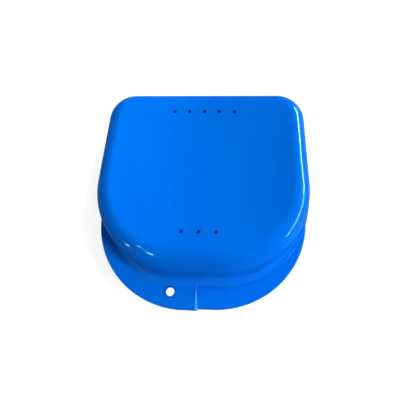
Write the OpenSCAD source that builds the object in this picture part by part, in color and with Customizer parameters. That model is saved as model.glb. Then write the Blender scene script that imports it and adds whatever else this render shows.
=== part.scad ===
// Retainer case: two drafted mouldings that snap together at a rear hinge.
// Each half carries one half of the front lip, so the two thumbs pry them apart.
// Millimetres, +Z up, +Y to the hinge. Origin under the middle of the footprint.

/* [Shells] */
// Width across the walls at the rim
case_w = 77; // [72:0.5:84]
// Width across the walls at the rear corners
rear_w = 75.2; // [70:0.2:77]
// Depth from the front wall to the rear wall at the rim
case_d = 69.6; // [66:0.2:80]
// Height of each half, from the parting plane to its flat outer face
half_h = 13.4; // [12:0.1:18]
// Plan radius of the front corners
front_r = 31.9; // [26:0.1:34]
// Plan radius of the rear corners
rear_r = 11.2; // [9:0.2:16]
// Radius of the edge between the walls and the flat face
edge_r = 5.5; // [3:0.1:6]
// Lean of the walls, degrees
draft = 8.3; // [3:0.1:9]
// Thickness of the walls and of the flat face
wall_t = 1.6; // [1.2:0.1:2]

/* [Front lip] */
// How far the base's half of the lip stands out of the front wall
lip_reach = 9.6; // [8:0.1:12]
// How far the lid's half of the lip reaches past the base's
lip_lead = 0.6; // [0.2:0.1:1]
// Plan radius of the lip's corner
lip_r = 32; // [30:0.1:34]
// How far the lip's widest point lies inside the widest point of the walls
lip_tuck = 1.55; // [1:0.05:3]
// Thickness of the lip
lip_t = 1.8; // [1.6:0.1:2.6]
// How far one half of the lip stands above the other
lip_rise = 0.6; // [0.4:0.1:0.8]
// Radius along the edges of the lip
lip_edge_r = 0.6; // [0.3:0.1:0.7]
// How far the rim bead of the plain half stands out at the front
bead_reach = 2.4; // [1:0.1:2.6]
// How much of that the bead loses towards the sides
bead_fade = 0.6; // [0.3:0.1:1]
// How far the cove between wall and lip reaches out at the front
cove_reach = 3; // [2:0.1:3.2]
// How much of that the cove loses towards the sides
cove_fade = 3; // [2:0.1:4]
// Gap between the two halves of the lip
seam_gap = 0.3; // [0.2:0.05:0.6]
// Gap between the two rims
rim_gap = 0.2; // [0.1:0.05:0.4]

/* [Holes] */
// Diameter of the lanyard hole
lanyard_d = 3.4; // [2:0.1:5]
// Distance of the lanyard hole from the seam
lanyard_x = 9.7; // [6:0.1:16]
// Distance of the lanyard hole from the front edge of the lid's lip
lanyard_set = 6; // [4:0.1:6.5]
// Diameter of the air vents
vent_d = 1.3; // [0.8:0.1:3]
// Number of vents in the rear row
rear_vents = 5; // [1:2:7]
// Spacing of the rear row
rear_vent_step = 5.45; // [4:0.05:7]
// Distance of the rear row from the rear wall
rear_vent_set = 10.6; // [9:0.1:20]
// Number of vents in the front row
front_vents = 3; // [1:2:5]
// Spacing of the front row
front_vent_step = 5.7; // [4:0.05:7]
// Distance of the front row from the front wall
front_vent_set = 13.3; // [10:0.1:20]

/* [Hinge] */
// Distance of each hinge from the middle of the case
hinge_x = 20; // [14:0.5:22]
// Diameter of the moulded pins
pin_d = 2.4; // [2:0.1:2.6]
// Outside diameter of the ears and hooks
knuckle_d = 4.6; // [4.4:0.1:5.4]
// Radial clearance of a pin in its hook
pin_gap = 0.08; // [0.03:0.01:0.1]
// Gap between the knuckles and the rear wall
hinge_gap = 0.3; // [0.2:0.05:0.6]
// Width of a hook
hook_w = 6.4; // [5:0.1:9]
// Thickness of an ear
ear_t = 2; // [1.5:0.1:3]
// Gap on each side of a hook
side_gap = 0.3; // [0.2:0.05:0.5]
// Width of the mouth by which a hook snaps over its pin
mouth_w = 1.9; // [1.4:0.1:2.1]
// Height of the hinge arms' roots on the rear wall
arm_h = 5; // [4:0.1:7]

/* [Locating tongue and catch] */
// Thickness of the tongue
tongue_t = 1; // [0.8:0.1:1.4]
// Gap between the tongue and the other half's wall
tongue_gap = 0.25; // [0.2:0.05:0.4]
// How far the tongue reaches past its own rim
tongue_reach = 1.6; // [1.5:0.1:1.8]
// How far the tongue's root runs up the wall
tongue_root = 3.5; // [3:0.1:5]
// How far the tongue stops short of the seam
tongue_start = 1.5; // [1:0.1:3]
// How far the tongue stops short of the rear wall
tongue_stop = 18; // [14:1:40]
// Radius of the catch bead
catch_r = 0.5; // [0.4:0.05:0.7]
// How far the catch lies past the parting plane
catch_drop = 0.35; // [0.3:0.05:0.4]
// How far the bead stands out of the tongue
catch_proud = 0.35; // [0.3:0.05:0.45]
// Length of the bead
catch_len = 4; // [2:0.5:5]
// Clearance of the bead in its groove
catch_gap = 0.2; // [0.15:0.05:0.25]

/* [Hidden] */
$fn = 96;

// Straight runs sit this far inside the arcs that they join, so that each join is a clear edge.
set_in = 0.01;
// Length by which a cutter runs past what it cuts
past = 5;
// Depth to which joined pieces reach into each other
bury = 0.3;

// Outline of the walls: four corner arcs joined by straight runs
knuckle_r = knuckle_d / 2;
hinge_out = hinge_gap + knuckle_d;
all_d = lip_reach + lip_lead + case_d + hinge_out;
rear_wall_y = all_d / 2 - hinge_out;
front_wall_y = rear_wall_y - case_d;
lip_front_y = front_wall_y - lip_reach;
lid_front_y = lip_front_y - lip_lead;
front_c = [case_w / 2 - front_r, front_wall_y + front_r];
rear_c = [rear_w / 2 - rear_r, rear_wall_y - rear_r];
lip_c = [case_w / 2 - lip_tuck - lip_r, lip_front_y + lip_r];
side_v = rear_c - front_c;
side_angle = atan2(side_v[1], side_v[0]) - 90 + asin((front_r - rear_r) / norm(side_v));
side_n = [cos(side_angle), sin(side_angle)];
side_end = front_c + (side_v * [-side_n[1], side_n[0]]) * [-side_n[1], side_n[0]];

// Levels, from the parting plane. The rim is low on the lip's side and high on the plain side.
rim_step = (lip_t - lip_rise) / 2;
low_rim = rim_gap / 2 - rim_step;
high_rim = rim_gap / 2 + rim_step;
lip_top = low_rim + lip_t;
wall_in = wall_t / cos(draft);
edge_z = half_h - edge_r;

// Cove: its torus sits ahead of the front corners, so that it fades out along the sides.
// Its radius is a little over the one that meets the wall smoothly, by this factor.
cove_ease = 1.04;
cove_foot = front_r - cove_fade;
cove_c = [front_c[0], front_c[1] - cove_reach - cove_fade];
cove_lean = (lip_top - high_rim) * tan(draft);
cove_r = cove_ease * (cove_reach + cove_lean) * cos(draft) / (1 - sin(draft));
// Share of its radius to which the cove climbs the wall
cove_climb = 0.9;
// Depth to which the cove's round dips under the lip's face, so that its foot is a clear edge
cove_dip = 0.05;
// Degrees by which the cove's sweep runs past its quarter turn at each end
cove_past = 5;

// Tongue's outer face, as an inset from the walls, and the catch bead's axis on it
tongue_out = wall_in + tongue_gap;
catch_y = front_wall_y + tongue_out + catch_r - catch_proud;

// Hinge axis, behind the rear wall on the parting plane
axis_y = rear_wall_y + hinge_gap + knuckle_r;
arm_root = wall_t - bury;
ear_x = hook_w / 2 + side_gap;

// Section of the bowl at $edge from its axis: a plumb rim, a leaning wall and a round edge.
// thick moves every face inwards, for the hollow inside.
module bowl_section(thick, from) {
  round_x = $edge - (edge_z - high_rim) * tan(draft) - edge_r / cos(draft);
  round_r = edge_r - thick;
  top_x = round_x + (round_r - set_in) * cos(draft);
  top_z = edge_z + (round_r - set_in) * sin(draft);
  rim_x = top_x + (top_z - high_rim) * tan(draft);
  polygon([
    [$inner, from],
    [rim_x, from],
    [rim_x, high_rim],
    [top_x, top_z],
    [round_x, edge_z + round_r],
    [$inner, edge_z + round_r]
  ]);
  intersection() {
    translate([round_x, edge_z]) circle(round_r);
    translate([round_x, edge_z]) square(2 * round_r);
  }
}

// Sets its section along one straight run of the outline, from p to q with the outside on the right
module run(p, q) {
  v = q - p;
  translate(p)
    rotate([90, 0, atan2(v[1], v[0]) + 90])
      linear_extrude(norm(v))
        mirror([1, 0]) children();
}

// Sweeps its section round the whole outline of the walls and fills the middle
module around() {
  for (side = [-1, 1]) {
    translate([side * front_c[0], front_c[1]])
      rotate_extrude() let ($edge = front_r, $inner = 0) children();
    translate([side * rear_c[0], rear_c[1]])
      rotate_extrude() let ($edge = rear_r, $inner = 0) children();
  }
  run([-front_c[0], front_c[1]], front_c)
    let ($edge = front_r - set_in, $inner = -bury) children();
  run(front_c, side_end)
    let ($edge = front_r - set_in, $inner = 0) children();
  mirror([1, 0, 0]) run(front_c, side_end)
    let ($edge = front_r - set_in, $inner = 0) children();
  run(rear_c, [-rear_c[0], rear_c[1]])
    let ($edge = rear_r - set_in, $inner = front_c[1] - rear_c[1] - bury) children();
}

// Outline of the walls, moved inwards by inset
module plan(inset) {
  front = front_r - inset;
  rear = rear_r - inset;
  for (side = [-1, 1]) {
    translate([side * front_c[0], front_c[1]]) circle(front);
    translate([side * rear_c[0], rear_c[1]]) circle(rear);
  }
  right = [
    front_c - [0, front - set_in],
    front_c + (front - set_in) * side_n,
    rear_c + (rear - set_in) * side_n,
    rear_c + [0, rear - set_in]
  ];
  left = [for (i = [len(right) - 1:-1:0]) [-right[i][0], right[i][1]]];
  polygon(concat(right, left));
}

// Quarter of a disc, for rounding the corner of a section
module quarter(r) {
  intersection() {
    circle(r);
    square(2 * r);
  }
}

// Section of the lip, with both outer edges rounded
module lip_section() {
  flat_x = $edge - lip_edge_r;
  polygon([
    [$inner, low_rim],
    [flat_x, low_rim],
    [$edge - set_in, low_rim + lip_edge_r],
    [$edge - set_in, lip_top - lip_edge_r],
    [flat_x, lip_top],
    [$inner, lip_top]
  ]);
  translate([flat_x, low_rim + lip_edge_r]) rotate(-90) quarter(lip_edge_r);
  translate([flat_x, lip_top - lip_edge_r]) quarter(lip_edge_r);
}

// Left half of the front lip, its end rounded where the seam shows
module lip() {
  difference() {
    union() {
      translate([-lip_c[0], lip_c[1]])
        rotate_extrude() let ($edge = lip_r, $inner = 0) lip_section();
      run([-lip_c[0], lip_c[1]], [0, lip_c[1]])
        let ($edge = lip_r - set_in, $inner = 0) lip_section();
    }
    translate([-seam_gap / 2, -all_d, low_rim - past]) cube([case_w, 2 * all_d, lip_t + 2 * past]);
    translate([-seam_gap / 2 - lip_edge_r, front_wall_y - bead_reach, lip_top - lip_edge_r])
      rotate([90, 0, 0])
        linear_extrude(lip_reach + lip_lead + past)
          difference() {
            square(lip_edge_r + past);
            translate([set_in, set_in]) circle(lip_edge_r);
          }
  }
}

// Outline of the bead on the plain half's rim: the front of the walls, slid forwards
module bead_plan() {
  for (side = [-1, 1])
    translate([side * front_c[0], front_c[1] - bead_reach - bead_fade]) circle(front_r - bead_fade);
  translate([-front_c[0], front_wall_y - bead_reach + set_in]) square([2 * front_c[0], front_r]);
}

// Section of the cove: a block under a hollow quarter round
module cove_section() {
  difference() {
    translate([$edge - cove_r - bury, lip_top - bury])
      square([cove_r + bury, cove_climb * cove_r + bury]);
    translate([$edge, lip_top + cove_r - cove_dip]) circle(cove_r);
  }
}

// Cove along the whole front wall
module cove() {
  for (side = [0, 1])
    mirror([side, 0, 0])
      translate(cove_c)
        rotate([0, 0, -90 - cove_past])
          rotate_extrude(angle = 90 + 2 * cove_past) let ($edge = cove_foot) cove_section();
  run([-cove_c[0], cove_c[1]], cove_c)
    let ($edge = cove_foot - set_in) cove_section();
}

// Cove between the wall and the lip
module lip_cove() {
  intersection() {
    cove();
    translate([-case_w - seam_gap / 2, -all_d, 0]) cube([case_w, all_d, half_h]);
  }
}

// Bead on the plain half's rim, with the same cove cut off at its edge
module rim_bead() {
  intersection() {
    union() {
      translate([-seam_gap, -all_d, high_rim]) cube([case_w, all_d, lip_top - high_rim]);
      cove();
    }
    linear_extrude(half_h)
      intersection() {
        bead_plan();
        translate([-seam_gap / 2, -all_d]) square([case_w, 2 * all_d]);
      }
  }
}

// Air vents: a row at the rear and a row at the front
module vents() {
  for (i = [0:rear_vents - 1])
    translate([(i - (rear_vents - 1) / 2) * rear_vent_step, rear_wall_y - rear_vent_set, 0])
      cylinder(d = vent_d, h = half_h + past);
  for (i = [0:front_vents - 1])
    translate([(i - (front_vents - 1) / 2) * front_vent_step, front_wall_y + front_vent_set, 0])
      cylinder(d = vent_d, h = half_h + past);
}

// Strip along the inside of the plain half's wall, from inset to the tongue's inner face
module tongue_strip(inset, from, height) {
  translate([0, 0, from])
    linear_extrude(height)
      intersection() {
        difference() {
          plan(inset);
          plan(tongue_out + tongue_t);
        }
        translate([tongue_start, rear_wall_y - tongue_stop - all_d]) square([case_w, all_d]);
      }
}

// Tongue inside the plain half's rim, which locates the other half, with the catch bead at the front
module tongue() {
  tongue_strip(wall_in - bury, high_rim, tongue_root);
  tongue_strip(tongue_out, high_rim - tongue_reach, tongue_reach + bury);
  translate([front_c[0] - catch_len, catch_y, -catch_drop])
    rotate([0, 90, 0]) cylinder(r = catch_r, h = catch_len);
}

// Groove in the lip half's wall for the other half's bead
module catch_groove() {
  translate([-front_c[0] - catch_gap, catch_y, catch_drop])
    rotate([0, 90, 0]) cylinder(r = catch_r + catch_gap, h = catch_len + 2 * catch_gap);
}

// Side view of a hinge arm: a round knuckle on a root that runs up the rear wall
module arm_section(from) {
  root = [-knuckle_r - hinge_gap - arm_root, arm_h];
  meet = atan2(root[1], root[0]) - acos((knuckle_r - set_in) / norm(root));
  circle(knuckle_r);
  polygon([
    [root[0], from],
    [0, from],
    (knuckle_r - set_in) * [cos(meet), sin(meet)],
    root
  ]);
}

module arm(from, x, width) {
  translate([x, axis_y, 0])
    rotate([90, 0, 90])
      linear_extrude(width) arm_section(from);
}

// Two ears with the hinge pin moulded between them
module pin_ears() {
  arm(low_rim, -hinge_x - ear_x - ear_t, ear_t);
  arm(low_rim, -hinge_x + ear_x, ear_t);
  translate([-hinge_x - ear_x - ear_t / 2, axis_y, 0])
    rotate([0, 90, 0]) cylinder(d = pin_d, h = 2 * ear_x + ear_t);
}

// Hook that snaps over the other half's pin
module hook() {
  difference() {
    arm(high_rim, hinge_x - hook_w / 2, hook_w);
    translate([hinge_x - hook_w / 2 - past, axis_y, 0])
      rotate([0, 90, 0]) cylinder(r = pin_d / 2 + pin_gap, h = hook_w + 2 * past);
    translate([hinge_x - hook_w / 2 - past, axis_y, -mouth_w / 2])
      cube([hook_w + 2 * past, knuckle_d, mouth_w]);
  }
}

// One half, with its flat face up: lip and pin on the left, plain rim, tongue and hook on the right.
// Only the upper one has the lanyard hole, and its lip leads.
module half_case(upper) {
  difference() {
    union() {
      around() bowl_section(0, low_rim);
      translate([0, upper ? -lip_lead : 0, 0]) lip();
      lip_cove();
      rim_bead();
    }
    around() bowl_section(wall_t, low_rim - past);
    translate([-seam_gap / 2, -all_d, high_rim - 2 * past]) cube([case_w, 2 * all_d, 2 * past]);
    vents();
    catch_groove();
    if (upper)
      translate([-lanyard_x, lid_front_y + lanyard_set, low_rim - past])
        cylinder(d = lanyard_d, h = lip_t + 2 * past);
  }
  tongue();
  pin_ears();
  hook();
}

// Lower moulding, flat face down
module base() {
  color("dodgerblue") translate([0, 0, half_h]) rotate([0, 180, 0]) half_case(false);
}

// Upper moulding, with the lanyard hole
module lid() {
  color("dodgerblue") translate([0, 0, half_h]) half_case(true);
}

base();
lid();
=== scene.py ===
import math

import bmesh
import bpy
from mathutils import Matrix, Vector


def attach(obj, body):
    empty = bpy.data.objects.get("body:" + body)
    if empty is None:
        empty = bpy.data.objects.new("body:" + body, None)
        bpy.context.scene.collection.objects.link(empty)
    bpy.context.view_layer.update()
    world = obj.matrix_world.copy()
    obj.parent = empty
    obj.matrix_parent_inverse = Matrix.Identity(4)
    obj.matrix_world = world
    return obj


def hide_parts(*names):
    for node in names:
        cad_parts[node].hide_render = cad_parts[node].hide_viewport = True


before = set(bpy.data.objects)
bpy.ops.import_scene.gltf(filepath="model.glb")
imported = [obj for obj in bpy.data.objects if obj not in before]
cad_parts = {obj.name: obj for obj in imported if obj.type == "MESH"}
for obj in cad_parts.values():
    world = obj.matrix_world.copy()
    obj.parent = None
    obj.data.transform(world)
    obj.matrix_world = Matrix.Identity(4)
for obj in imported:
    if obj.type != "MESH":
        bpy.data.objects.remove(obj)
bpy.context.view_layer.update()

# Base
# The lower half of the case, one thin-walled injection moulding in glossy blue polypropylene.
# It lies on its flat face. The right half of the front lip, a row of vents at the front and rear,
# one hinge pin and one hook come out of the same mould, so nothing is fixed on later.

mm = 0.001

# Walls, in millimetres, with the flat face up and the parting plane at zero
case_width = 77.0
rear_width = 75.2
case_depth = 69.6
half_height = 13.4
front_radius = 31.9
rear_radius = 11.2
lean = math.radians(8.3)
wall = 1.6
wall_in = wall / math.cos(lean)
hinge_out = 4.9
lid_lip = 10.2
base_lip = 9.6
rear_y = (lid_lip + case_depth + hinge_out) / 2 - hinge_out
front_y = rear_y - case_depth
front_centre = Vector((case_width / 2 - front_radius, front_y + front_radius))
rear_centre = Vector((rear_width / 2 - rear_radius, rear_y - rear_radius))

# The round along the flat face, which is softer at the sides and softest at the front
edge_radius = 5.5
side_softer = 0.6
front_softer = 0.9
face_inset = 0.8

# The stepped rim, the lip with the bevel beside its joint, the bead along the rim and the cove above
low_rim = -0.5
high_rim = 0.7
lip_top = 1.3
lip_round = 0.6
lip_radius = 32.0
lip_inset = 1.55
lip_centre_x = -(case_width / 2 - lip_inset - lip_radius)
seam = 0.012
seam_step = 0.006
seam_bevel = 0.8
bevel_satin = 0.7
seam_slope = math.tan(math.radians(42.3))
bead_round = 0.42
bead_reach = 2.4
bead_fade = 0.6
cove_reach = 3.0
cove_fade = 3.0
cove_fullness = 1.04
cove_run = cove_reach + (lip_top - high_rim) * math.tan(lean)
cove_radius = cove_fullness * cove_run * math.cos(lean) / (1 - math.sin(lean))
least_cove = 0.5

# Points along one cut through the wall, and the rows of the mesh that they make. The inner rows leave out
# the inner wall's first point, on the rim, and take in the middle of the ceiling.
fillet_points = 30
wall_points = 6
cove_points = 14
cove_tries = 500
ledge_shares = (0, 0.3, 0.6, 0.9)
round_points = 7
inner_wall_points = 5
inner_fillet_points = 16
cove_row = 1 + fillet_points + wall_points
ledge_row = cove_row + cove_points
under_row = ledge_row + len(ledge_shares) + round_points
inner_rows = inner_wall_points + inner_fillet_points

# Columns round the plan
front_columns = 12
bevel_columns = 4
front_corner_columns = 110
side_columns = 14
rear_corner_columns = 56
rear_columns = 14

# Limits of a column's outward direction, a hair's breadth, and the reach of a column that meets nothing
faces_front = -0.99
faces_rear = 0.2
hair = 0.01
no_reach = -9.0


def spread(start, stop, count):
    """Evenly spaced numbers from start to stop."""
    return [start + (stop - start) * i / (count - 1) for i in range(count)]


def straight(start, end, shares):
    """Points at these shares of the way from start to end."""
    return [tuple(a + (b - a) * share for a, b in zip(start, end)) for share in shares]


def arc(x, z, radius, start, stop, count):
    """Points on an arc between two angles in degrees."""
    return [
        (x + radius * math.cos(a), z + radius * math.sin(a))
        for a in spread(math.radians(start), math.radians(stop), count)
    ]


def corner_columns(centre, radius, start, stop, count):
    """Points round one corner of the plan, after its first, with the outward direction at each."""
    outs = [Vector((math.cos(a), math.sin(a))) for a in spread(start, stop, count)[1:]]
    return [(centre + radius * out, out) for out in outs]


def rim_columns(front_xs, rear_xs):
    """Points of the right half of the rim with the outward direction at each, from front to rear."""
    along = rear_centre - front_centre
    turn = math.atan2(along.y, along.x) - math.pi / 2
    turn += math.asin((front_radius - rear_radius) / along.length)
    found = [(Vector((x, front_y)), Vector((0, -1))) for x in front_xs]
    found += corner_columns(front_centre, front_radius, -math.pi / 2, turn, front_corner_columns)
    out = Vector((math.cos(turn), math.sin(turn)))
    start, end = front_centre + front_radius * out, rear_centre + rear_radius * out
    found += [(start.lerp(end, share), out) for share in spread(0, 1, side_columns)[1:]]
    found += corner_columns(rear_centre, rear_radius, turn, math.pi / 2, rear_corner_columns)
    return found + [(Vector((x, rear_y)), Vector((0, 1))) for x in rear_xs]


def reach_to(point, out, radius, centre):
    """How far a column runs outwards to a corner arc, which is mirrored to the column's own side."""
    centre = Vector((math.copysign(centre[0], point.x), centre[1]))
    if abs(point.x) <= abs(centre.x):
        centre.x = point.x
    v = point - centre
    root = v.dot(out) ** 2 - v.length_squared + radius ** 2
    return -v.dot(out) + math.sqrt(root) if root > 0 and out.y < faces_rear else no_reach


def reach_past_front(point, out, reach, fade):
    """How far the cove or the bead leads a column outwards. Both fade out towards the sides."""
    return reach_to(point, out, front_radius - fade, (front_centre.x, front_centre.y - reach - fade))


def cove_level(point):
    """Height of the cove's hollow round over a point of the plan."""
    centre = Vector((math.copysign(front_centre.x, point.x), front_centre.y - cove_reach - cove_fade))
    if abs(point.x) <= front_centre.x:
        centre.x = point.x
    inside = front_radius - cove_fade - (point - centre).length
    return lip_top + cove_radius - math.sqrt(max(cove_radius ** 2 - inside ** 2, 0))


def wall_at(z):
    """How far the drafted wall stands from the rim's outline at a height."""
    return -max(z - high_rim, 0) * math.tan(lean)


def on_bevel(point, out, margin=0.0):
    """Whether a column of the lip is on the bevel beside the joint."""
    return out.y < faces_front and point.x > -seam - seam_bevel - margin


def section(point, out, has_lip, lip_front):
    """One cut through the wall, from the middle of the flat face over the rim and back to the ceiling."""
    lean_deg = math.degrees(lean)
    radius = edge_radius + side_softer * (1 - max(out.y, 0) ** 2) + front_softer * max(-out.y, 0) ** 2
    edge_z = half_height - radius
    round_in = (edge_z - high_rim) * math.tan(lean) + radius / math.cos(lean)
    cut = [(-round_in - face_inset, half_height)]
    cut += arc(-round_in, edge_z, radius, 90, lean_deg, fillet_points)

    foot = reach_past_front(point, out, cove_reach, cove_fade)
    bead = reach_past_front(point, out, bead_reach, bead_fade)
    bevelled = has_lip and on_bevel(point, out)
    end = foot if has_lip and not bevelled else min(foot, bead - bead_round)
    if end > wall_at(lip_top) and foot > 0:
        tries = spread(end, -wall, cove_tries)
        gaps = [cove_level(point + s * out) - (high_rim - s / math.tan(lean)) for s in tries]
        meet = next((s for s, gap in zip(tries, gaps) if s < 0 and gap <= 0), 0.0)
        steps = [meet + (end - meet) * math.sin(t) for t in spread(0, math.pi / 2, cove_points)]
        cove = [(s, cove_level(point + s * out)) for s in steps]
        cove[0] = (meet, high_rim - meet / math.tan(lean))
    else:
        cove = [(wall_at(lip_top), lip_top)] * cove_points
    cut += straight(cut[-1], cove[0], spread(0, 1, wall_points + 2)[1:-1])
    cut += cove

    if has_lip:
        tip = no_reach
        if point.x < 0:
            tip = reach_to(point, out, lip_radius, (lip_centre_x, lip_front + lip_radius))
        top_z = lip_top
        if bevelled:
            top_z -= (point.x + seam + seam_bevel) * seam_slope
        flat = tip - lip_round
        round_z = min(lip_top - lip_round, top_z - hair)
        ledge = straight((cove[-1][0], top_z), (flat, top_z), ledge_shares)
        upper = [(x, min(z, top_z)) for x, z in arc(flat, round_z, lip_round, 90, 0, round_points)]
        lower = arc(flat, low_rim + lip_round, lip_round, 0, -90, round_points)
        rim_z = low_rim
    else:
        top_z = max(cove[-1][1], lip_top)
        ledge = [(max(bead - bead_round, wall_at(lip_top)), top_z)] * len(ledge_shares)
        upper = arc(bead - bead_round, top_z - bead_round, bead_round, 90, 0, round_points)
        lower = [(max(bead, 0), high_rim)] * round_points
        rim_z = high_rim
    cut += [(max(x, wall_at(z)), z) for x, z in ledge + upper + lower]
    cut += [(-wall_in, rim_z)]

    inner = arc(-round_in, edge_z, radius - wall, lean_deg, 90, inner_fillet_points)
    cut += straight((-wall_in, high_rim), inner[0], spread(0, 1, inner_wall_points + 1)[:-1])
    return cut + inner + [(-round_in - face_inset, half_height - wall)]


def shell(lip_front):
    """The thin wall of one half, flat face up, as one closed skin. Its lip is on the left.

    Three layers mark parts of the surface: "inner" on the faces inside, which get a painted glow, "satin" in the
    cove and on the bevel beside the joint, and one left at zero here, for the lanyard hole's wall, which gets
    painted shade and more roughness.
    """
    beside = seam_step - seam
    plain = rim_columns(
        spread(beside, front_centre.x, front_columns),
        spread(rear_centre.x, beside, rear_columns)[1:],
    )
    near_seam = spread(seam, seam + seam_bevel, bevel_columns)
    lipped = rim_columns(
        near_seam + spread(seam + seam_bevel, front_centre.x, front_columns)[1:],
        spread(rear_centre.x, seam, rear_columns)[1:],
    )
    lipped = [(Vector((-p.x, p.y)), Vector((-n.x, n.y))) for p, n in reversed(lipped)]
    columns = [(p, n, False) for p, n in plain] + [(p, n, True) for p, n in lipped]
    bm = bmesh.new()
    inner = bm.verts.layers.float.new("inner")
    satin = bm.verts.layers.float.new("satin")
    bm.verts.layers.float.new("pierced")
    skin = []
    for p, n, has_lip in columns:
        cut = section(p, n, has_lip, lip_front)
        column = [bm.verts.new((*(p + s * n), z)) for s, z in cut]
        for vert in column[-inner_rows:]:
            vert[inner] = 1.0
        if cut[ledge_row - 1][0] - cut[cove_row][0] > least_cove:
            for vert in column[cove_row:ledge_row]:
                vert[satin] = 1.0
        if has_lip and on_bevel(p, n, hair):
            for vert in column[ledge_row:under_row]:
                vert[satin] = bevel_satin
        skin.append(column)
    for here, there in zip(skin, skin[1:] + skin[:1]):
        for k in range(len(here) - 1):
            bm.faces.new((here[k], here[k + 1], there[k + 1], there[k]))
    bm.faces.new([column[0] for column in skin])
    bm.faces.new([column[-1] for column in reversed(skin)])
    bmesh.ops.remove_doubles(bm, verts=bm.verts, dist=1e-4)
    bmesh.ops.dissolve_degenerate(bm, edges=bm.edges, dist=1e-5)
    return bm


# Hinge: a pin between two ears on the left, a hook with an open mouth on the right
hinge_x = 20.0
hinge_gap = 0.3
pin_radius = 1.2
knuckle = 2.3
bore = 1.28
mouth = 0.95
hook_width = 6.4
ear = 2.0
ear_gap = 0.3
ear_x = hook_width / 2 + ear_gap
root_rise = 5.0
root_short = 0.3
axis_y = rear_y + hinge_gap + knuckle

# Tongue inside the right half of the rim, let a little into the wall, which stops short of the hinge
tongue_outer = 0.25
tongue_inner = 1.25
tongue_drop = 1.6
tongue_root = 3.5
tongue_lift = 0.06
tongue_start = 1.5
tongue_stop = 18
tongue_let_in = 0.3

# Catch bead on the tongue, and the groove for the other half's
catch_radius = 0.5
catch_sunk = 0.35
catch_level = 0.35
catch_length = 4
groove_radius = 0.7
groove_end = 0.2


def extrude(bm, outline, low, high):
    """Closed prism along X over an outline of (y, z) points."""
    ends = [[bm.verts.new((x, y, z)) for y, z in outline] for x in (low, high)]
    count = len(outline)
    for i in range(count):
        j = (i + 1) % count
        bm.faces.new((ends[0][i], ends[0][j], ends[1][j], ends[1][i]))
    bm.faces.new(list(reversed(ends[0])))
    bm.faces.new(ends[1])


def circle(x, y, radius, count):
    """Evenly spaced points on a full circle."""
    return arc(x, y, radius, 0, 360, count + 1)[:-1]


def knuckle_outline(level, open_mouth):
    """Side view of a hinge arm: a round knuckle with a root that runs up the rear wall."""
    root = Vector((-knuckle - hinge_gap - (wall - root_short), root_rise))
    meet = math.atan2(root.y, root.x) - math.acos(knuckle / root.length)
    start = math.atan2(level, -math.sqrt(knuckle ** 2 - level ** 2)) % (2 * math.pi)
    if open_mouth:
        outer, inner = math.asin(mouth / knuckle), math.asin(mouth / bore)
        turns = [(knuckle, a) for a in spread(start, 2 * math.pi - outer, 40)]
        turns += [(bore, a) for a in spread(2 * math.pi - inner, inner, 40)]
        turns += [(knuckle, a) for a in spread(outer, meet, 8)]
    else:
        turns = [(knuckle, a) for a in spread(start, 2 * math.pi + meet, 56)]
    points = [(r * math.cos(a), r * math.sin(a)) for r, a in turns]
    return [(axis_y + y, z) for y, z in [(root.x, level), *points, tuple(root)]]


def fittings():
    """What one half carries, flat face up: ears, hook and tongue, then pin and catch bead, then the groove."""
    arms, rods, groove = bmesh.new(), bmesh.new(), bmesh.new()
    for x in (-hinge_x - ear_x - ear, -hinge_x + ear_x):
        extrude(arms, knuckle_outline(low_rim, False), x, x + ear)
    extrude(arms, knuckle_outline(high_rim, True), hinge_x - hook_width / 2, hinge_x + hook_width / 2)
    pin = circle(axis_y, 0, pin_radius, 40)
    extrude(rods, pin, -hinge_x - ear_x - ear / 2, -hinge_x + ear_x + ear / 2)

    outer, inner, tip = wall_in + tongue_outer, wall_in + tongue_inner, high_rim - tongue_drop
    shoulder, top = high_rim + tongue_lift, high_rim + tongue_root
    bar = [(wall_in - tongue_let_in, shoulder), (outer, shoulder), (outer, tip)]
    bar += [(inner, tip), (inner, top), (wall_in - tongue_let_in, top)]
    columns = rim_columns(spread(tongue_start, front_centre.x, 8), [])
    columns = [c for c in columns if c[0].y < rear_y - tongue_stop]
    rows = [[arms.verts.new((*(p - inset * n), z)) for inset, z in bar] for p, n in columns]
    for here, there in zip(rows, rows[1:]):
        for k in range(len(bar)):
            m = (k + 1) % len(bar)
            arms.faces.new((here[k], there[k], there[m], here[m]))
    arms.faces.new(rows[0])
    arms.faces.new(list(reversed(rows[-1])))

    catch_y, catch_x = front_y + outer + catch_radius - catch_sunk, front_centre.x
    bead = circle(catch_y, -catch_level, catch_radius, 24)
    extrude(rods, bead, catch_x - catch_length, catch_x)
    hollow = circle(catch_y, catch_level, groove_radius, 32)
    extrude(groove, hollow, -catch_x - groove_end, catch_length + groove_end - catch_x)
    for bm in (arms, rods, groove):
        bmesh.ops.recalc_face_normals(bm, faces=bm.faces)
    return arms, rods, groove


def as_object(bm, name):
    """Turns mesh code into an object of the scene."""
    mesh = bpy.data.meshes.new(name)
    bm.to_mesh(mesh)
    bm.free()
    made = bpy.data.objects.new(name, mesh)
    bpy.context.scene.collection.objects.link(made)
    return made


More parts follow.
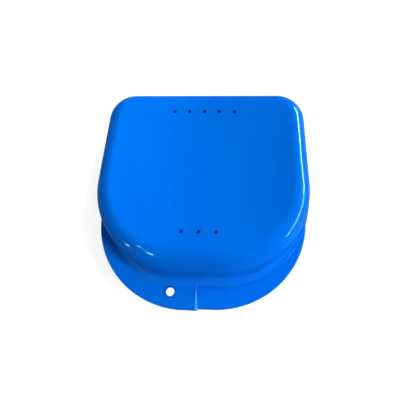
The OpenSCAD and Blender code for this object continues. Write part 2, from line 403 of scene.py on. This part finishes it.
class Wire:
    """A node's socket on which plain arithmetic adds Math nodes."""

    def __init__(self, tree, socket):
        self.tree, self.socket = tree, socket

    def node(self, kind, settings=None, out=0, **inputs):
        """Adds a node. An input is named, with _ for a space, or counted as i0, i1 and so on."""
        made = self.tree.nodes.new(kind)
        for key, value in (settings or {}).items():
            if key == "stops":
                for stop, (place, colour) in zip(made.color_ramp.elements, value):
                    stop.position, stop.color = place, colour
            else:
                setattr(made, key, value)
        for key, value in inputs.items():
            counted = key[0] == "i" and key[1:].isdigit()
            socket = made.inputs[int(key[1:]) if counted else key.replace("_", " ")]
            for given in value if isinstance(value, list) else [value]:
                if isinstance(given, Wire):
                    self.tree.links.new(given.socket, socket)
                else:
                    socket.default_value = given
        return Wire(self.tree, made.outputs[out])

    def maths(self, operation, a, b):
        return self.node("ShaderNodeMath", {"operation": operation}, i0=a, i1=b)

    def __add__(self, other):
        return self.maths("ADD", self, other)

    def __sub__(self, other):
        return self.maths("SUBTRACT", self, other)

    def __rsub__(self, other):
        return self.maths("SUBTRACT", other, self)

    def __mul__(self, other):
        return self.maths("MULTIPLY", self, other)

    __radd__ = __add__
    __rmul__ = __mul__


# The plastic's two blues, a painted glow for its inner faces standing in for the light that comes through its thin
# walls, and what is the same all over it
deep_blue = (0.0, 0.138, 0.70, 1)
bright_blue = (0.0, 0.150, 0.735, 1)
no_light = (0, 0, 0, 1)
painted_inner_glow = (0.0, 0.009, 0.17, 1)
all_over = {"IOR": 1.49, "Specular IOR Level": 0.065, "Specular Tint": (0.3, 0.8, 1.0, 1), "Emission Strength": 1.0}


def blue_plastic(name):
    """Glossy polypropylene with flow marks in its colour, and rubbed patches and a fine ripple in its gloss, with
    painted shade darkening the lanyard hole's wall and a painted glow on the inner faces.
    """
    material = bpy.data.materials.new(name)
    material.use_nodes = True
    tree = material.node_tree
    shader = tree.nodes["Principled BSDF"].inputs
    for key, value in all_over.items():
        shader[key].default_value = value
    new = Wire(tree, None).node
    inner, satin, pierced = [
        new("ShaderNodeAttribute", {"attribute_name": layer}, out="Fac") for layer in ("inner", "satin", "pierced")
    ]
    place = new("ShaderNodeTexCoord", out="Object")
    stretched = new("ShaderNodeMapping", Vector=place, Scale=(1.0, 0.35, 1.0), Rotation=(0, 0, 0.5))
    flow = new("ShaderNodeTexNoise", Vector=stretched, Scale=55.0, Detail=3.0)
    rubbed = new("ShaderNodeTexNoise", Vector=place, Scale=160.0, Detail=5.0)
    ripple = new("ShaderNodeTexNoise", Vector=place, Scale=420.0, Detail=2.0)
    colour = new("ShaderNodeValToRGB", {"stops": [(0.3, deep_blue), (0.7, bright_blue)]}, Fac=flow)
    looks = {
        # Painted shade: the lanyard hole's wall is drawn darker than the rest of the plastic
        "Base Color": new("ShaderNodeHueSaturation", Value=1.0 - 0.5 * pierced, Color=colour),
        # Painted glow: the inner faces emit a dim blue, standing in for light that comes through the thin walls
        "Emission Color": new("ShaderNodeValToRGB", {"stops": [(0.0, no_light), (1.0, painted_inner_glow)]}, Fac=inner),
        "Roughness": 0.05 + 0.06 * rubbed + 0.6 * pierced + 0.3 * satin,
        "Normal": new("ShaderNodeBump", Height=ripple, Strength=0.03, Distance=0.0002),
    }
    for key, wire in looks.items():
        tree.links.new(wire.socket, shader[key])
    return material


# Vents: a row at the rear and one at the front, straight through the flat face
vent_sides = 40
vent_depth = 8
vent_sizes = {
    "Radius": 0.68,
    "Mouth": 0.12,
    "Face": half_height,
    "Rear Step": 5.45,
    "Rear Y": rear_y - 10.6,
    "Front Step": 5.7,
    "Front Y": front_y + 13.3,
}
vent_counts = {"Rear Count": 5, "Front Count": 3}


def vent_tree(material):
    """Two rows of round vents punched through the flat face, with a small chamfer at each mouth."""
    tree = bpy.data.node_groups.new("vent_rows", "GeometryNodeTree")
    add_socket = tree.interface.new_socket
    add_socket("Geometry", in_out="INPUT", socket_type="NodeSocketGeometry")
    keys = {}
    for names, kind in ((vent_sizes, "NodeSocketFloat"), (vent_counts, "NodeSocketInt")):
        for name in names:
            keys[name] = add_socket(name, in_out="INPUT", socket_type=kind).identifier
    add_socket("Geometry", in_out="OUTPUT", socket_type="NodeSocketGeometry")
    new = Wire(tree, None).node
    given = {socket.name: Wire(tree, socket) for socket in tree.nodes.new("NodeGroupInput").outputs}
    radius, chamfer = given["Radius"], given["Mouth"]
    punch = new("GeometryNodeMeshCylinder", Vertices=vent_sides, Radius=radius, Depth=vent_depth * mm)
    flare = new(
        "GeometryNodeMeshCone",
        Vertices=vent_sides,
        Radius_Bottom=radius - chamfer,
        Radius_Top=radius + 2.0 * chamfer,
        Depth=3.0 * chamfer,
    )
    drop = new("ShaderNodeCombineXYZ", Z=-2.0 * chamfer)
    flare = new("GeometryNodeTransform", Geometry=flare, Translation=drop)
    punch = new("GeometryNodeMeshBoolean", {"operation": "UNION", "solver": "EXACT"}, Mesh_2=[punch, flare])
    rows = []
    for row in ("Rear", "Front"):
        count, step = given[row + " Count"], given[row + " Step"]
        first_x = -0.5 * ((count - 1.0) * step)
        first = new("ShaderNodeCombineXYZ", X=first_x, Y=given[row + " Y"], Z=given["Face"])
        gap = new("ShaderNodeCombineXYZ", X=step)
        line = new("GeometryNodeMeshLine", Count=count, Start_Location=first, Offset=gap)
        put = new("GeometryNodeInstanceOnPoints", Points=line, Instance=punch)
        rows.append(new("GeometryNodeRealizeInstances", Geometry=put))
    bored = new(
        "GeometryNodeMeshBoolean",
        {"operation": "DIFFERENCE", "solver": "MANIFOLD"},
        Mesh_1=given["Geometry"],
        Mesh_2=rows,
    )
    bored = new("GeometryNodeRealizeInstances", Geometry=bored)
    dressed = new("GeometryNodeSetMaterial", Geometry=bored, Material=material)
    tree.links.new(dressed.socket, tree.nodes.new("NodeGroupOutput").inputs[0])
    return tree, keys


def settle(piece):
    """Turns a piece with its modifiers into a plain mesh."""
    bpy.context.view_layer.update()
    done = bpy.data.meshes.new_from_object(piece.evaluated_get(bpy.context.evaluated_depsgraph_get()))
    piece.modifiers.clear()
    piece.data = done
    return done


sharp_edge = math.radians(32)


def moulding(name, lip_front, place, material, cutters=()):
    """One half of the case in its place: skin, hinge and tongue joined, groove, holes and vents cut."""
    half = as_object(shell(lip_front), name)
    half.data.materials.append(material)
    *added, groove = [as_object(bm, name + "_fittings") for bm in fittings()]
    for piece in (half, *added, groove):
        piece.data.transform(Matrix.Scale(mm, 4))
    cutters = [groove, *cutters]
    for operand in (*added, *cutters):
        join = half.modifiers.new(operand.name, "BOOLEAN")
        join.operation = "UNION" if operand in added else "DIFFERENCE"
        join.solver, join.object = "MANIFOLD", operand
    vents = half.modifiers.new("vents", "NODES")
    vents.node_group, keys = vent_tree(material)
    for key, value in vent_sizes.items():
        vents[keys[key]] = value * mm
    for key, value in vent_counts.items():
        vents[keys[key]] = value
    done = settle(half)
    while len(done.materials) > 1:
        done.materials.pop()
    for operand in (*added, *cutters):
        bpy.data.objects.remove(operand)
    done.transform(place)
    done.shade_smooth()
    done.set_sharp_from_angle(angle=sharp_edge)
    half.modifiers.new("weighted_normals", "WEIGHTED_NORMAL").keep_sharp = True
    settle(half).name = name
    return half


lift = Matrix.Translation((0, 0, half_height * mm))
turned_over = lift @ Matrix.Rotation(math.pi, 4, "Y")
base = moulding("base_moulding", front_y - base_lip, turned_over, blue_plastic("base_blue_plastic"))
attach(base, "base")
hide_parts("base")

# Lid
# The upper half, the same thin moulding the other way up. Its half of the front lip is on the left,
# leads the base's a little and has the lanyard hole. Its hook and pin snap onto the base's at the rear.

hole_x = -9.7
hole_y = front_y - lid_lip + 6.0
hole_top = 1.66
hole_foot = 1.44
hole_round = 0.15
hole_past = 1


def turned_rings(bm, x, y, profile, count):
    """Rings of a turned form about an upright line, one for each (radius, z), joined by faces."""
    rings = [[bm.verts.new((*point, z)) for point in circle(x, y, radius, count)] for radius, z in profile]
    for here, there in zip(rings, rings[1:]):
        for i in range(count):
            j = (i + 1) % count
            bm.faces.new((here[i], there[i], there[j], here[j]))
    return rings


# The hole tapers downwards and has rounded mouths
profile = arc(hole_top + hole_round, lip_top - hole_round, hole_round, 90, 180, 8)
profile += arc(hole_foot + hole_round, low_rim + hole_round, hole_round, 180, 270, 8)
profile = [(profile[0][0], lip_top + hole_past)] + profile + [(profile[-1][0], low_rim - hole_past)]
bm = bmesh.new()
rings = turned_rings(bm, hole_x, hole_y, profile, 64)
bm.faces.new(rings[0])
bm.faces.new(list(reversed(rings[-1])))
bmesh.ops.recalc_face_normals(bm, faces=bm.faces)
# Marks the hole's wall for painted shade and a rougher gloss
pierced = bm.verts.layers.float.new("pierced")
for vert in bm.verts:
    vert[pierced] = 1.0
lanyard_hole = as_object(bm, "lanyard_hole")
lanyard_hole.data.transform(Matrix.Scale(mm, 4))
lid = moulding("lid_moulding", front_y - lid_lip, lift, blue_plastic("lid_blue_plastic"), [lanyard_hole])
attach(lid, "lid")
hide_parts("lid")

# Floor
# A plain white sheet under the case, which curves up all round into a backdrop.
# It shows as white but keeps the soft shadow of the case, and is dimmer where the gloss mirrors it.

floor_flat = 0.4
floor_bend = 0.5
floor_edge = 2.4
floor_top = 0.81
floor_gap = 0.0001
floor_glow = 0.88
gloss_share = 0.08

sweep = arc(floor_edge - floor_bend, floor_bend, floor_bend, -90, 0, 17)
sweep = [(floor_flat, 0.0), *sweep, (floor_edge, floor_top)]
bm = bmesh.new()
rings = turned_rings(bm, 0, 0, [(r, z - floor_gap) for r, z in sweep], 64)
bm.faces.new(rings[0])
floor = as_object(bm, "floor")
floor.data.shade_smooth()
paper = bpy.data.materials.new("floor_paper")
paper.use_nodes = True
tree = paper.node_tree
tree.nodes.clear()
new = Wire(tree, None).node
white, faint, dim = [new("ShaderNodeBsdfDiffuse", Color=(grey, grey, grey, 1)) for grey in (0.9, 0.22, 0.1)]
camera_ray = new("ShaderNodeLightPath", out="Is Camera Ray")
path = camera_ray.socket.node.outputs
glossy_ray, clear_ray = Wire(tree, path["Is Glossy Ray"]), Wire(tree, path["Is Transmission Ray"])
mirrored = glossy_ray.maths("MAXIMUM", glossy_ray, clear_ray)
glow = new("ShaderNodeEmission", Color=(1, 1, 1, 1), Strength=floor_glow)
shown = new("ShaderNodeAddShader", i0=faint, i1=glow)
in_gloss = new("ShaderNodeMixShader", i0=gloss_share, i1=dim, i2=shown)
elsewhere = new("ShaderNodeMixShader", i0=mirrored, i1=white, i2=in_gloss)
surface = new("ShaderNodeMixShader", i0=camera_ray, i1=elsewhere, i2=shown)
tree.links.new(surface.socket, tree.nodes.new("ShaderNodeOutputMaterial").inputs["Surface"])
floor.data.materials.append(paper)

# Light
# A soft studio with a faint even surround. A broad box at the right rear lights the colour, with a weak fill
# from the front and two small aimed lamps, one for the roof's left side and one for the lip. Cool strips on
# the right and three small lamps on the left show only in the gloss.

surround = 0.09
world = bpy.data.worlds.new("studio")
bpy.context.scene.world = world
world.use_nodes = True
world.node_tree.nodes["Background"].inputs["Color"].default_value = (1, 1, 1, 1)
world.node_tree.nodes["Background"].inputs["Strength"].default_value = surround


def lamp(name, place, aim, width, height, power, spread_deg=180, colour=(1, 1, 1)):
    """A rectangular lamp at a place, turned to its aim, in metres and watts."""
    made = bpy.data.lights.new(name, "AREA")
    made.shape, made.size, made.size_y, made.energy = "RECTANGLE", width, height, power
    made.spread, made.color = math.radians(spread_deg), colour
    holder = bpy.data.objects.new(name, made)
    bpy.context.scene.collection.objects.link(holder)
    holder.location = place
    holder.rotation_euler = (Vector(aim) - Vector(place)).to_track_quat("-Z", "Y").to_euler()
    return holder


for details in [
    ("side_box", (0.852, 0.397, 0.362), (0, 0, 0.02), 0.95, 0.4, 15.5),
    ("front_fill", (0.157, -0.893, 0.443), (0, 0, 0.02), 0.5, 0.5, 1.6),
    ("pool_lamp", (0.2, 0.05, 0.48), (-0.13, 0.025, 0.027), 0.12, 0.12, 0.154, 32),
    ("lip_lamp", (0.35, -0.25, 0.35), (0.03, -0.085, 0.014), 0.08, 0.08, 0.028, 16),
]:
    lamp(*details).visible_glossy = False
cool = (0.5, 0.9, 1.0)
for details in [
    ("rear_strip", (0.579, 0.358, 0.188), (0, 0, 0.025), 0.46, 0.08, 22.0),
    ("front_strip", (0.684, -0.087, 0.147), (0, 0, 0.025), 0.45, 0.06, 12.5),
    ("glint_low", (-0.833, -0.575, 0.226), (-0.023, -0.023, 0.025), 0.05, 0.02, 6.0),
    ("glint_small", (-0.579, -0.440, 0.742), (-0.019, -0.024, 0.026), 0.03, 0.015, 3.5),
    ("glint_long", (-0.492, -0.647, 0.648), (-0.015, -0.026, 0.026), 0.07, 0.015, 7.0),
]:
    lamp(*details, colour=cool).visible_diffuse = False

# Camera
# It stands over the front lip, a little to the right, and is rolled slightly to the left.
# Its lens is given in pixels of the photograph, its aim and distance in millimetres.

picture_width = 400
focal_pixels = 402.32
aim = Vector((-1.026, -2.827, 14.0))
distance = 148.115
elevation, yaw, roll = math.radians(68.328), math.radians(12.821), math.radians(-10.829)

camera = bpy.data.cameras.new("camera")
camera.sensor_width = 36.0
camera.lens = focal_pixels * camera.sensor_width / picture_width
camera.clip_start = 0.005
eye = bpy.data.objects.new("camera", camera)
bpy.context.scene.collection.objects.link(eye)
level = Vector((math.cos(yaw), math.sin(yaw), 0))
flat = math.cos(elevation)
back = Vector((math.sin(yaw) * flat, -math.cos(yaw) * flat, math.sin(elevation)))
rise = back.cross(level)
right = math.cos(roll) * level + math.sin(roll) * rise
up = -math.sin(roll) * level + math.cos(roll) * rise
axes = Matrix((right, up, back)).transposed().to_4x4()
eye.matrix_world = Matrix.Translation((aim + back * distance) * mm) @ axes
bpy.context.scene.camera = eye
bpy.context.scene.view_settings.view_transform = "Standard"

bpy.context.view_layer.update()
